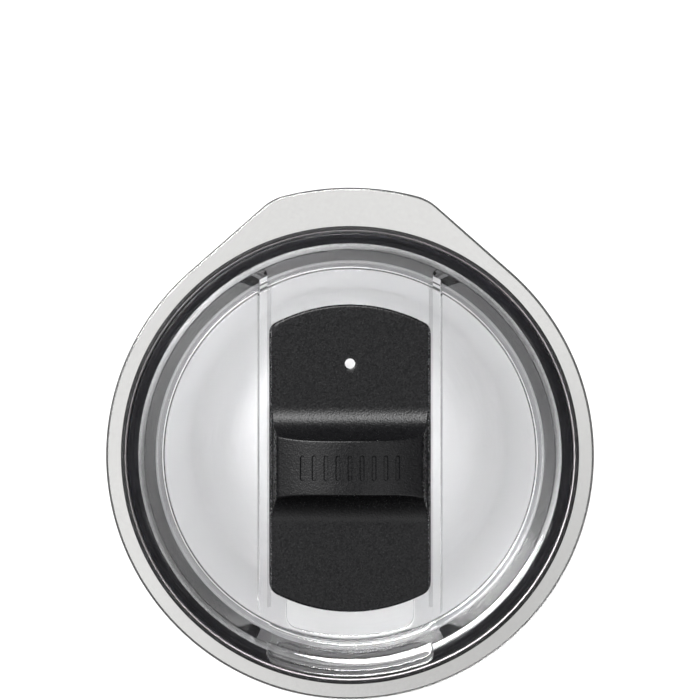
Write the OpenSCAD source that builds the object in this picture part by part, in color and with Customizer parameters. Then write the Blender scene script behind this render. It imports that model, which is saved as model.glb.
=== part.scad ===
// Vacuum-insulated steel tumbler with a clear press-in lid and a sliding drink closure.
// The tumbler stands on z = 0 with its axis on Z.
// +Y points to the lid's thumb tab and -Y to the side that is drunk from.

/* [Tumbler] */
// Height of the steel rim above the table
cup_h = 170; // [150:1:190]
// Outer radius at the rim
rim_r = 43.6; // [43.5:0.05:44]
// Outer radius just above the base
base_r = 35.5; // [34:0.5:37]
// Thickness of the outer shell
shell_t = 0.6; // [0.5:0.05:0.6]
// Thickness of the inner liner
liner_t = 0.5; // [0.4:0.05:0.5]
// Gap under vacuum between the two walls
vacuum_gap = 2.6; // [2:0.1:3]
// Height at which the straight taper starts to turn upright
taper_end = 100; // [90:5:110]
// Height at which the wall has become upright
upright_start = 145; // [130:5:148]

/* [Base] */
// Thickness of the silicone foot under the base
foot_t = 1.2; // [1:0.1:1.5]
// Radius of the silicone foot
foot_r = 31.5; // [28:0.5:32]
// Radius of the shell's bottom corner
shell_corner_r = 3; // [2:0.5:4]
// Diameter of the evacuation port in the vacuum bottom
port_d = 3; // [2:0.5:4]
// Distance of the getter from the axis
getter_x = 16; // [12:1:20]

/* [Lid] */
// Outer radius of the lid's flange
flange_r = 46.4; // [46:0.1:48]
// Thickness of the flange
flange_t = 2.1; // [1.8:0.1:2.4]
// Radius of the thumb tab's outer edge, about the axis
tab_r = 50.9; // [50:0.1:53]
// Angle from +Y at which the tab's straight sides leave the flange
tab_angle = 41.3; // [39:0.1:44]
// Radius of the tab's two corners
tab_corner_r = 9; // [6:0.5:10]
// Depth of the lid's floor below the flange's top
floor_drop = 8.9; // [8:0.1:10]
// Thickness of the lid's floor
floor_t = 2; // [1.6:0.1:2.4]
// Radius of the flat part of the floor
floor_r = 35.5; // [35:0.1:36]
// Radius at which the well's rolled edge meets the flange's top
well_r = 40.15; // [40:0.05:40.25]
// Radius of the seat that carries the gasket
seat_r = 40.3; // [40.3:0.1:40.6]
// Gap between the flange and the steel rim
rim_gap = 0.3; // [0.2:0.1:0.5]

/* [Rails] */
// Distance from the middle to a rail's inner face
rail_x = 15.8; // [15.7:0.1:16.2]
// Thickness of a rail at its foot
rail_t = 1.9; // [1.5:0.05:2]
// How far a rail's outer face leans in from its foot to its top
rail_draft = 0.4; // [0.2:0.1:0.5]
// Width of the lip on a rail's inner face, which reaches just over the slider's edge
lip_w = 0.75; // [0.65:0.05:0.85]
// Thickness of the lip
lip_t = 1.2; // [1:0.1:1.4]

/* [Slider] */
// Width of the slider plate
slider_w = 30.9; // [30:0.1:31]
// Length of the slider plate along its middle
slider_l = 58.8; // [57:0.1:59]
// Thickness of the slider plate
slider_t = 2.2; // [2:0.1:2.4]
// Radius of the slider's curved ends
slider_end_r = 32.6; // [31:0.2:36]
// Place of the slider's middle along Y in its sip position
slider_y = -0.65; // [-0.8:0.05:-0.4]
// Height of the thumb grip above the plate
grip_h = 6.3; // [5.5:0.1:6.4]
// Length of the grip's top along the slider
grip_l = 10.4; // [9:0.2:12]
// Place of the grip's middle along Y
grip_y = -2.5; // [-3:0.1:-2]
// Drop from the middle of the grip's arched top to its sides
grip_sag = 3.1; // [2:0.1:3.4]
// Diameter of the slider's vent hole
vent_d = 1.95; // [1.6:0.05:2.4]
// Place of the vent hole along Y
vent_y = 17.4; // [15:0.1:19]

/* [Sip opening] */
// Width of the opening in the floor
sip_w = 24.2; // [20:0.2:25]
// Far edge of the opening, from the axis
sip_far = 34.6; // [34:0.1:34.8]
// Near edge of the opening, from the axis
sip_near = 26; // [25:0.5:28]

/* [Hidden] */
$fn = 96;
// Overlap that makes a cut run cleanly past a face
cut = 1;
// Heights of the lid, from the rim up
flange_z = cup_h + rim_gap;
lid_top = flange_z + flange_t;
floor_z = lid_top - floor_drop;
// Bottom of the plug wall and of the gasket
plug_z = floor_z - floor_t - 1.5;
gasket_z = floor_z - floor_t;
// Bottom of the straight neck that the gasket seals against
neck_z = plug_z - 2;
// Base
shell_z = foot_t;
corner_top = shell_z + shell_corner_r;
bottom_t = 0.6;
bottom_z = 4;
cover_top = bottom_z - 0.2;
liner_z = 9;
liner_corner_r = 18;
foil_t = 0.12;
// Slope of the tapered wall, so that it reaches rim_r at upright_start
slope = (rim_r - base_r) / ((taper_end - corner_top) + (upright_start - taper_end) / 2);
// Slider
slider_gap = 0.3;
slider_z = floor_z + slider_gap;
slider_top = slider_z + slider_t;
lip_z = slider_top + 0.3;
lip_l = 66;
rail_top = lip_z + lip_t;
// Lean of the well's wall and of the spout's wall off upright
well_lean = 17.5;
spout_lean = 12;
// Width of the grip's arched top and of its foot
grip_w = 27.4;
grip_foot_w = 30;
scoop_far_r = 6.6;
scoop_near_r = 5.6;
// Silicone pad, of which seal_proud stands out under the slider
seal_t = 1.2;
seal_proud = 0.25;
// Radius at which the spout's edge meets the flange's top
spout_r = 42.3;

// Outer radius of the tumbler at a height: straight taper, parabolic turn, upright wall
function wall_r(z) =
    z <= taper_end ? base_r + slope * (z - corner_top)
    : z >= upright_start ? rim_r
    : base_r + slope * (taper_end - corner_top) + slope * (z - taper_end)
      - slope * pow(z - taper_end, 2) / (2 * (upright_start - taper_end));

// Heights from a to b in n equal steps
function steps(a, b, n) = [for (i = [0:n]) a + (b - a) * i / n];

// Points of an arc in the r-z plane
function arc(cx, cz, r, from, to, n) =
    [for (i = [0:n]) let (a = from + (to - from) * i / n) [cx + r * cos(a), cz + r * sin(a)]];

// Outline of the tumbler's wall, moved inwards by inset, from height lo to height hi
function wall_line(inset, lo, hi) =
    concat([[wall_r(lo) - inset, lo]],
           [for (z = steps(taper_end, upright_start, 6)) if (z > lo && z < hi) [wall_r(z) - inset, z]],
           [[wall_r(hi) - inset, hi]]);

function reversed(list) = [for (i = [len(list) - 1:-1:0]) list[i]];

module outer_shell() {
    corner = arc(base_r - shell_corner_r, corner_top, shell_corner_r, -90, 0, 6);
    corner_inner = arc(base_r - shell_corner_r, corner_top, shell_corner_r - shell_t, 0, -90, 6);
    color([0.1, 0.1, 0.11])
    rotate_extrude()
    polygon(concat(corner,
                   wall_line(0, corner_top + 0.01, cup_h - 0.3),
                   [[rim_r - 0.2, cup_h]],
                   [[rim_r - shell_t, cup_h]],
                   reversed(wall_line(shell_t, corner_top + 0.01, cup_h - 0.01)),
                   corner_inner));
}

// Outer face of the liner from the middle of its floor up to the neck
liner_inset = shell_t + vacuum_gap;
liner_wall_low = liner_z + liner_corner_r;
neck_bottom = neck_z - 5;

function liner_face(inset) =
    concat([[0, liner_z + inset]],
           arc(wall_r(liner_wall_low) - liner_inset - liner_corner_r, liner_wall_low,
               liner_corner_r - inset, -90, 0, 8),
           wall_line(liner_inset + inset, liner_wall_low + 0.01, neck_bottom));

module inner_liner() {
    color("silver")
    rotate_extrude()
    polygon(concat(liner_face(0),
                   [[rim_r - shell_t, neck_z], [rim_r - shell_t, cup_h]],
                   [[rim_r - shell_t - liner_t + 0.15, cup_h]],
                   [[rim_r - shell_t - liner_t, cup_h - 0.3], [rim_r - shell_t - liner_t, neck_z]],
                   reversed(liner_face(liner_t))));
}

// Disc that closes the vacuum space, welded inside the shell
module shell_bottom() {
    color("gray")
    difference() {
        union() {
            translate([0, 0, bottom_z])
            cylinder(h = bottom_t, r = base_r - shell_t - 0.1);
            translate([0, 0, bottom_z + bottom_t])
            cylinder(h = 0.6, r = 6);
        }
        translate([0, 0, bottom_z - cut])
        cylinder(h = bottom_t + 0.6 + 2 * cut, d = port_d);
        translate([0, 0, bottom_z - cut])
        cylinder(h = cut + 0.6, r = 5);
    }
}

// Glass bead that seals the evacuation port
module sealing_bead() {
    color("gold")
    translate([0, 0, bottom_z + 0.1]) {
        cylinder(h = 1.1, d = port_d);
        cylinder(h = 0.5, d = port_d + 2.4);
    }
}

// Visible steel pan under the vacuum bottom
module bottom_cover() {
    pan_r = base_r - shell_corner_r;
    color("silver")
    difference() {
        translate([0, 0, shell_z])
        cylinder(h = cover_top - shell_z, r = pan_r);
        translate([0, 0, shell_z + shell_t])
        cylinder(h = cover_top, r = pan_r - shell_t);
    }
}

// Silicone disc under the pan, with a moulded groove near its edge
module foot_pad() {
    groove_r = foot_r - 5;
    groove_w = 0.5;
    edge_r = 0.6;
    color("dimgray")
    rotate_extrude()
    polygon(concat([[0, 0], [groove_r - groove_w, 0], [groove_r, groove_w], [groove_r + groove_w, 0]],
                   arc(foot_r - edge_r, edge_r, edge_r, -90, 0, 5),
                   [[foot_r, foot_t], [0, foot_t]]));
}

// Thin metal foil wrapped round the liner inside the vacuum
module radiation_foil() {
    foil_low = liner_wall_low + 2;
    foil_high = neck_bottom - 2;
    color("peru")
    rotate_extrude()
    polygon(concat(wall_line(liner_inset, foil_low, foil_high),
                   reversed(wall_line(liner_inset - foil_t, foil_low, foil_high))));
}

// Gas-absorbing pill
module getter() {
    color("darkslategray")
    translate([getter_x, 0, bottom_z + bottom_t])
    cylinder(h = 1.6, r = 4.5);
}

// Sheet-metal clip that holds the pill on the vacuum bottom
module getter_clip() {
    clip_w = 5;
    clip_l = 17;
    sheet = 0.3;
    top = 1.6;
    color("lightgray")
    translate([getter_x, 0, bottom_z + bottom_t])
    difference() {
        union() {
            translate([-clip_w / 2, -clip_l / 2, 0])
            cube([clip_w, clip_l, sheet]);
            translate([-clip_w / 2, -5.3, 0])
            cube([clip_w, 10.6, top + sheet]);
        }
        translate([-clip_w, -5, -cut])
        cube([2 * clip_w, 10, top + cut]);
    }
}

// Plan of the flange: a circle with a tangent-sided tab towards +Y
module flange_plan() {
    // The corner circle touches the tab's outer arc and its straight side
    corner_dist = tab_r - tab_corner_r;
    corner_angle = tab_angle - acos((flange_r - tab_corner_r) / corner_dist);
    corner = corner_dist * [sin(corner_angle), cos(corner_angle)];
    side = [sin(tab_angle), cos(tab_angle)];
    leave = flange_r * side;
    meet = corner + tab_corner_r * side;
    polygon(concat(
        [for (a = steps(tab_angle, 360 - tab_angle, 120)) flange_r * [sin(a), cos(a)]],
        [for (a = steps(-tab_angle, -corner_angle, 8)) [-corner[0], corner[1]] + tab_corner_r * [sin(a), cos(a)]],
        [for (a = steps(-corner_angle, corner_angle, 14)) tab_r * [sin(a), cos(a)]],
        [for (a = steps(corner_angle, tab_angle, 8)) corner + tab_corner_r * [sin(a), cos(a)]]));
}

// Points of an arc from point p inwards and down, on which the surface tilts from a to b degrees off level.
// It is convex, or concave where r is negative.
function roll(p, r, a, b, n) =
    let (c = p - r * [-sin(a), cos(a)])
    [for (t = steps(a, b, n)) c + r * [-sin(t), cos(t)]];

function last(list) = list[len(list) - 1];
function rest(list) = [for (i = [1:len(list) - 1]) list[i]];

// Edge of the well from the flange's top down: a short curve, a crowned bevel and a tight curve into the wall
function well_edge() =
    let (bevel_a = 13, bevel_b = 25, bevel_run = 0.8)
    let (short = roll([well_r, lid_top], 0.6, 0, bevel_a, 2))
    let (bevel = roll(last(short), bevel_run / (sin(bevel_b) - sin(bevel_a)), bevel_a, bevel_b, 3))
    let (tight = roll(last(bevel), 0.45, bevel_b, 90 - well_lean, 5))
    concat(short, rest(bevel), rest(tight));

// Edge of the spout from the flange's top down: a rolled lip, a dished step, a gently falling ledge
// and a tight curve into the wall
function spout_edge() =
    let (lip_tilt = 40, slope_run = 0.45, ledge_a = 11, ledge_b = 20, ledge_run = 1.9)
    let (lip = roll([spout_r, lid_top], 1.1, 0, lip_tilt, 4))
    let (dish = roll(last(lip) - slope_run * [1, tan(lip_tilt)], -0.8, lip_tilt, ledge_a, 3))
    let (ledge = roll(last(dish), ledge_run / (sin(ledge_b) - sin(ledge_a)), ledge_a, ledge_b, 2))
    let (tight = roll(last(ledge), 0.5, ledge_b, 90 - spout_lean, 4))
    concat(lip, dish, rest(ledge), rest(tight));

// Section of the plug: floor, wall with a rolled top edge, and gasket seat
module plug_section() {
    fillet_r = 1.1;
    difference() {
        polygon([[0, floor_z - floor_t], [floor_r + 0.5, floor_z - floor_t], [floor_r + 1, plug_z],
                 [seat_r - 1, plug_z], [seat_r - 0.4, gasket_z - 0.5], [seat_r + 0.9, gasket_z - 0.5],
                 [seat_r + 0.9, gasket_z], [seat_r, gasket_z],
                 [seat_r, flange_z], [seat_r + 1, flange_z], [seat_r + 1, lid_top],
                 [0, lid_top]]);
        polygon(concat([[-cut, floor_z], [0, floor_z]],
                       arc(floor_r, floor_z + fillet_r, fillet_r, -90, -well_lean, 6),
                       reversed(well_edge()),
                       [[well_r, lid_top + cut], [-cut, lid_top + cut]]));
    }
}

// Spout: a pocket between the rails with a ledge just under the flange's top
module spout_pocket() {
    pocket_w = 2 * rail_x;
    pocket_start = 29;
    foot_r = floor_r + 1.3;
    intersection() {
        rotate_extrude()
        polygon(concat([[pocket_start - 5, floor_z], [foot_r, floor_z + 0.4]],
                       reversed(spout_edge()),
                       [[spout_r, lid_top + cut], [pocket_start - 5, lid_top + cut]]));
        translate([-pocket_w / 2, -flange_r, floor_z])
        cube([pocket_w, flange_r - pocket_start, floor_drop + 2 * cut]);
    }
}

// Outline of the sip opening: straight sides, a bowed far edge and round corners
module sip_plan() {
    corner_r = 2.4;
    far_r = 37;
    far_y = far_r - sip_far;
    corner_x = sip_w / 2 - corner_r;
    corner_y = far_y - sqrt(pow(far_r - corner_r, 2) - pow(corner_x, 2));
    bow = asin(corner_x / (far_r - corner_r));
    polygon(concat(
        arc(corner_x, -sip_near - corner_r, corner_r, 0, 90, 6),
        arc(-corner_x, -sip_near - corner_r, corner_r, 90, 180, 6),
        arc(-corner_x, corner_y, corner_r, 180, 270 - bow, 6),
        arc(0, far_y, far_r, 270 - bow + 2, 270 + bow - 2, 10),
        arc(corner_x, corner_y, corner_r, 270 + bow, 360, 6)));
}

// Plan of a rail with its lip, rounded off where it ends at the spout
module rail_plan() {
    end_y = -31;
    tab_end_y = 40;
    x_in = rail_x - rail_t;
    polygon(concat([[x_in, tab_end_y], [x_in, end_y]],
                   arc(rail_x, end_y + rail_t, rail_t, -90, 0, 6),
                   [[rail_x + rail_t, tab_end_y]]));
}

// One rail with its retaining lip, on the +X side
module rail() {
    reach = 40;
    root = floor_z - 0.5;
    lap = 0.5;
    intersection() {
        union() {
            translate([0, reach, 0])
            rotate([90, 0, 0])
            linear_extrude(2 * reach)
            polygon([[rail_x, root], [rail_x + rail_t, root], [rail_x + rail_t, floor_z],
                     [rail_x + rail_t - rail_draft, rail_top], [rail_x, rail_top]]);
            translate([rail_x - lip_w, -lip_l / 2, lip_z])
            cube([lip_w + lap, lip_l, lip_t]);
        }
        translate([0, 0, floor_z - cut])
        linear_extrude(floor_drop)
        rail_plan();
        translate([0, 0, floor_z - cut])
        cylinder(h = floor_drop, r = 38);
    }
}

module lid_body() {
    color("lightcyan")
    difference() {
        union() {
            difference() {
                translate([0, 0, flange_z])
                linear_extrude(flange_t)
                flange_plan();
                translate([0, 0, flange_z - cut])
                cylinder(h = flange_t + 2 * cut, r = seat_r + 0.5);
            }
            rotate_extrude()
            plug_section();
            rail();
            mirror([1, 0, 0])
            rail();
        }
        spout_pocket();
        translate([0, 0, floor_z - floor_t - cut])
        linear_extrude(floor_t + 2 * cut)
        sip_plan();
        translate([0, vent_y, floor_z - floor_t - cut])
        cylinder(h = floor_t + 2 * cut, d = vent_d + 0.4);
    }
}

// Silicone ring with three sealing lips round the plug
module lid_gasket() {
    body_r = seat_r + 1.1;
    lip_r = rim_r - shell_t - liner_t - 0.12;
    ring_h = flange_z - gasket_z;
    pitch = ring_h / 3;
    color([0.09, 0.09, 0.1])
    rotate_extrude()
    polygon(concat([[seat_r, gasket_z], [seat_r, flange_z]],
                   [for (i = [2:-1:0]) each [
                       [body_r, gasket_z + (i + 0.85) * pitch],
                       [lip_r, gasket_z + (i + 0.7) * pitch],
                       [lip_r, gasket_z + (i + 0.45) * pitch],
                       [body_r, gasket_z + (i + 0.15) * pitch]]],
                   [[body_r, gasket_z]]));
}

module slider_plan() {
    intersection() {
        square([slider_w, slider_l], center = true);
        translate([0, slider_l / 2 - slider_end_r])
        circle(r = slider_end_r);
        translate([0, slider_end_r - slider_l / 2])
        circle(r = slider_end_r);
    }
}

// Thumb grip: an arch across the slider between two concave scoops
module slider_grip() {
    arch_r = (pow(grip_w / 2, 2) + pow(grip_sag, 2)) / (2 * grip_sag);
    grip_top = slider_top + grip_h;
    far_y = grip_y + grip_l / 2;
    near_y = grip_y - grip_l / 2;
    difference() {
        intersection() {
            translate([0, far_y + scoop_far_r, slider_top])
            rotate([90, 0, 0])
            linear_extrude(grip_l + scoop_far_r + scoop_near_r)
            polygon([[-grip_foot_w / 2, -0.5], [grip_foot_w / 2, -0.5], [grip_foot_w / 2, 0.2],
                     [grip_w / 2, grip_h - grip_sag], [grip_w / 2, grip_h + 1],
                     [-grip_w / 2, grip_h + 1], [-grip_w / 2, grip_h - grip_sag], [-grip_foot_w / 2, 0.2]]);
            translate([0, 50, grip_top - arch_r])
            rotate([90, 0, 0])
            cylinder(h = 100, r = arch_r, $fn = 200);
        }
        translate([-slider_w, far_y + scoop_far_r, slider_top + scoop_far_r])
        rotate([0, 90, 0])
        cylinder(h = 2 * slider_w, r = scoop_far_r);
        translate([-slider_w, near_y - scoop_near_r, slider_top + scoop_near_r])
        rotate([0, 90, 0])
        cylinder(h = 2 * slider_w, r = scoop_near_r);
        translate([-slider_w, near_y - 2 * scoop_near_r, slider_top + scoop_near_r])
        cube([2 * slider_w, 2 * scoop_near_r, grip_h]);
    }
}

module slider() {
    color([0.16, 0.16, 0.17])
    difference() {
        union() {
            translate([0, slider_y, slider_z])
            linear_extrude(slider_t)
            slider_plan();
            slider_grip();
        }
        translate([0, vent_y, slider_z - cut])
        cylinder(h = slider_t + 2 * cut, d = vent_d);
        translate([0, 0, slider_z - cut])
        linear_extrude(cut + seal_t - seal_proud)
        seal_plan();
    }
}

// Outline of the silicone pad that closes the sip opening from above
module seal_plan() {
    pad_w = 27;
    pad_l = 11;
    edge = 0.45;
    slider_end = slider_y - slider_l / 2;
    intersection() {
        translate([-pad_w / 2, slider_end])
        square([pad_w, pad_l]);
        translate([0, slider_end + slider_end_r])
        circle(r = slider_end_r - edge);
    }
}

module slider_seal() {
    color([0.3, 0.3, 0.31])
    translate([0, 0, slider_z - seal_proud])
    linear_extrude(seal_t)
    seal_plan();
}

outer_shell();
inner_liner();
shell_bottom();
bottom_cover();
foot_pad();
radiation_foil();
getter();
getter_clip();
sealing_bead();
lid_body();
lid_gasket();
slider();
slider_seal();
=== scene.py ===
"""Insulated tumbler with a clear press-in lid and a black sliding closure.

Lengths are millimetres in the CAD's frame, apart from those of materials, lights and the camera's distance,
which are metres. The tumbler stands on z = 0, +Y points to the lid's thumb tab and -Y to the spout.
"""
import math

import bmesh
import bpy
from mathutils import Matrix, Vector


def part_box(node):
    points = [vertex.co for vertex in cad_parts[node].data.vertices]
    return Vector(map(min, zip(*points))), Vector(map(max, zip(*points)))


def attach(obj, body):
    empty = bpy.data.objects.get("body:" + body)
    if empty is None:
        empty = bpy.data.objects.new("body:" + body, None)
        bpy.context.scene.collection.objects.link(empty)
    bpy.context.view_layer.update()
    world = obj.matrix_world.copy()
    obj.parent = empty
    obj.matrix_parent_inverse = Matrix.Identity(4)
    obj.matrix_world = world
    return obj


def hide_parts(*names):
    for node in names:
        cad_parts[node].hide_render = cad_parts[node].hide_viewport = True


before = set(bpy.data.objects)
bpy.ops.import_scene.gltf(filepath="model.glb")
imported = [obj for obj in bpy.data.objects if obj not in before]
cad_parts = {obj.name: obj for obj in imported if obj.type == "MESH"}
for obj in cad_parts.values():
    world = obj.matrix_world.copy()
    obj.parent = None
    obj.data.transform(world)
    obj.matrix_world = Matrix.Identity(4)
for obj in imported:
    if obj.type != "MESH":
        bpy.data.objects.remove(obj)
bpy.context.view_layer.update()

MM = 0.001


# ---------------------------------------------------------------- sizes

def corners(node):
    """Lowest and highest corner of a CAD node, in millimetres."""
    low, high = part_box(node)
    return [v / MM for v in low], [v / MM for v in high]


LID_LOW, LID_HIGH = corners("lid_body")
SHELL_LOW, SHELL_HIGH = corners("outer_shell")
GASKET_LOW, GASKET_HIGH = corners("lid_gasket")

# Lid
LID_TOP = LID_HIGH[2]
PLUG_Z = LID_LOW[2]
FLANGE_R = 46.4
FLANGE_T = 2.1
FLANGE_Z = LID_TOP - FLANGE_T
TAB_R = 50.9
TAB_ANGLE = math.radians(41.3)
TAB_CORNER_R = 9.0
FLOOR_Z = LID_TOP - 8.9
FLOOR_T = 2.0
FLOOR_R = 35.5
FLOOR_FILLET_R = 1.1
WELL_R = 40.15
WELL_LEAN = 17.5
SPOUT_R = 42.3
SPOUT_LEAN = 12
SEAT_R = 40.3
# Within this radius the flange is round, and beyond it the tab grows out
ROUND_R = SEAT_R + 2
GASKET_Z = FLOOR_Z - FLOOR_T
# The stretched gasket wets its seat, so that no air shows between silicone and clear plastic
GASKET_GRIP = 0.03
RAIL_X = 15.8
RAIL_T = 1.9
RAIL_DRAFT = 0.4
RAIL_END_Y = 34.8
RAIL_SPOUT_Y = -31.0
LIP_W = 0.75
LIP_T = 1.2
LIP_HALF_L = 33.0
SIP_W = 24.2
SIP_FAR = 34.6
SIP_NEAR = 26.0
SIP_FAR_R = 37.0
SIP_CORNER_R = 2.4

# Slider
SLIDER_Z = corners("slider")[0][2]
SLIDER_T = 2.2
SLIDER_TOP = SLIDER_Z + SLIDER_T
SLIDER_HALF_W = 15.44
SLIDER_FAR_Y = 28.73
SLIDER_NEAR_Y = -30.03
SLIDER_END_R = 32.6
SLIDER_FAR_CORNER_R = 1.6
SLIDER_NEAR_CORNER_R = 2.2
SLIDER_EDGE_R = 0.55
GRIP_H = 6.3
GRIP_FAR_Y = 2.7
GRIP_NEAR_Y = -7.7
GRIP_SIDE_X = 14.1
GRIP_FOOT_X = 14.75
GRIP_SAG = 3.1
GRIP_ARCH_R = (GRIP_SIDE_X ** 2 + GRIP_SAG ** 2) / (2 * GRIP_SAG)
SCOOP_FAR_R = 6.6
SCOOP_NEAR_R = 5.6
VENT_Y = 17.4
VENT_R = 0.975
LIP_GAP = 0.3
LIP_Z = SLIDER_TOP + LIP_GAP
RAIL_TOP = LIP_Z + LIP_T

# Tumbler
CUP_H = SHELL_HIGH[2]
SHELL_Z = SHELL_LOW[2]
RIM_R = 43.6
BASE_R = 35.5
SHELL_T = 0.6
LINER_T = 0.5
VACUUM_GAP = 2.6
SHELL_CORNER_R = 3.0
TAPER_START = SHELL_Z + SHELL_CORNER_R
TAPER_END = 100.0
UPRIGHT_START = 145.0
LINER_Z = corners("inner_liner")[0][2]
LINER_CORNER_R = 18.0
NECK_Z = PLUG_Z - 2
FOOT_R = 31.5
# How far the shell's lip laps over the liner's edge, and how far that edge lies below the lip
LIP_LAP = 0.15
LIP_DROP = 0.25

# Segments of a turned piece, and the angle in degrees from which an edge stays sharp
SEGMENTS = 384
SHARP = 32
# How far a cutter reaches past the face that it cuts
OVERSHOOT = 1.0

# Range in which most of a noise's values lie
NOISE_LOW = 0.3
NOISE_HIGH = 0.7


# ---------------------------------------------------------------- mesh helpers

def to_scene(x, y, z):
    """A point given in millimetres, as a vector in metres."""
    return Vector((x * MM, y * MM, z * MM))


def steps(a, b, n):
    """n + 1 numbers from a to b."""
    return [a + (b - a) * i / n for i in range(n + 1)]


def arc(cx, cy, r, start, end, n):
    """Points of an arc from start to end degrees."""
    return [(cx + r * math.cos(math.radians(a)), cy + r * math.sin(math.radians(a)))
            for a in steps(start, end, n)]


def finish_mesh(name, bm, sharp=SHARP):
    """Makes an object from bm: outward faces, smooth but for edges sharper than sharp degrees."""
    bmesh.ops.recalc_face_normals(bm, faces=bm.faces)
    mesh = bpy.data.meshes.new(name)
    bm.to_mesh(mesh)
    bm.free()
    obj = bpy.data.objects.new(name, mesh)
    bpy.context.scene.collection.objects.link(obj)
    shade(obj, sharp)
    return obj


def shade(obj, sharp=SHARP):
    """Smooths an object, but for edges sharper than sharp degrees."""
    obj.data.shade_smooth()
    obj.data.set_sharp_from_angle(angle=math.radians(sharp))


def weigh_normals(obj):
    """Keeps large flat faces flat next to small round edges."""
    modifier = obj.modifiers.new("WeightedNormals", "WEIGHTED_NORMAL")
    modifier.keep_sharp = True
    modifier.weight = 100


def stitch(bm, ring_a, ring_b):
    """Faces between two closed rings. A ring of one vertex is a pole."""
    count = max(len(ring_a), len(ring_b))
    for i in range(count):
        j = (i + 1) % count
        face = [ring_a[i % len(ring_a)], ring_a[j % len(ring_a)],
                ring_b[j % len(ring_b)], ring_b[i % len(ring_b)]]
        # At a pole two corners are the same vertex, and the face is a triangle
        bm.faces.new(list(dict.fromkeys(face)))


def revolve(name, profile, closed, radius_at=None, sharp=SHARP, segments=SEGMENTS):
    """Turns (radius, z) points about Z.

    A closed profile is a ring; an open one starts and ends on the axis. radius_at(radius, angle) can change
    the radius with the angle from +Y.
    """
    on_axis = 1e-6
    bm = bmesh.new()
    rings = []
    for r, z in profile:
        if r < on_axis:
            rings.append([bm.verts.new(to_scene(0, 0, z))])
            continue
        ring = []
        for i in range(segments):
            angle = 2 * math.pi * i / segments
            radius = radius_at(r, angle) if radius_at else r
            ring.append(bm.verts.new(to_scene(radius * math.sin(angle), radius * math.cos(angle), z)))
        rings.append(ring)
    pairs = list(zip(rings, rings[1:]))
    if closed:
        pairs.append((rings[-1], rings[0]))
    for ring_a, ring_b in pairs:
        stitch(bm, ring_a, ring_b)
    return finish_mesh(name, bm, sharp)


def loft(name, levels):
    """A solid through outlines of equal length: levels is a list of (outline, z)."""
    bm = bmesh.new()
    rings = [[bm.verts.new(to_scene(x, y, z)) for x, y in outline] for outline, z in levels]
    for ring_a, ring_b in zip(rings, rings[1:]):
        stitch(bm, ring_a, ring_b)
    bm.faces.new(rings[0])
    bm.faces.new(rings[-1])
    return finish_mesh(name, bm)


def extrude_along_y(name, section, y_low, y_high):
    """A bar with an (x, z) section."""
    bm = bmesh.new()
    rings = [[bm.verts.new(to_scene(x, y, z)) for x, z in section] for y in (y_low, y_high)]
    stitch(bm, rings[0], rings[1])
    bm.faces.new(rings[0])
    bm.faces.new(rings[1])
    return finish_mesh(name, bm)


def combine(target, tools, operation):
    """Joins tools to target or cuts them from it, and removes them."""
    for tool in tools:
        modifier = target.modifiers.new("Combine", "BOOLEAN")
        modifier.operation = operation
        modifier.solver = "MANIFOLD"
        modifier.object = tool
    bpy.context.view_layer.update()
    evaluated = target.evaluated_get(bpy.context.evaluated_depsgraph_get())
    made = bpy.data.meshes.new_from_object(evaluated)
    target.modifiers.clear()
    target.data = made
    made.name = target.name
    for tool in tools:
        bpy.data.objects.remove(tool)
    shade(target)


def give(obj, body, material, replaced):
    """Puts a piece on its body with its material, and hides the CAD node that it stands for."""
    obj.data.materials.clear()
    obj.data.materials.append(material)
    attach(obj, body)
    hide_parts(replaced)


# ---------------------------------------------------------------- material helpers

class Nodes:
    """A small builder for a node tree."""

    def __init__(self, tree):
        self.tree = tree

    def node(self, kind, **settings):
        """Adds a node of a kind, with its settings."""
        made = self.tree.nodes.new(kind)
        for key, value in settings.items():
            setattr(made, key, value)
        return made

    def link(self, source, target):
        """Links an output to an input."""
        self.tree.links.new(source, target)

    def feed(self, value, socket):
        """Gives a socket its value: another node's output, or plain numbers."""
        if isinstance(value, bpy.types.NodeSocket):
            self.link(value, socket)
        else:
            socket.default_value = value

    def calculate(self, operation, *values):
        """Result of a math node that is fed the values in order."""
        made = self.node("ShaderNodeMath", operation=operation)
        for value, socket in zip(values, made.inputs):
            self.feed(value, socket)
        return made.outputs["Value"]

    def split(self, vector):
        """The X, Y and Z outputs of a vector."""
        made = self.node("ShaderNodeSeparateXYZ")
        self.link(vector, made.inputs["Vector"])
        return made.outputs

    def span(self, value, low, high, source_low=NOISE_LOW, source_high=NOISE_HIGH):
        """Maps a value from its source range, by default that of a noise, to the range low to high."""
        made = self.node("ShaderNodeMapRange")
        made.inputs["From Min"].default_value = source_low
        made.inputs["From Max"].default_value = source_high
        made.inputs["To Min"].default_value = low
        made.inputs["To Max"].default_value = high
        self.link(value, made.inputs["Value"])
        return made.outputs["Result"]


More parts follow.
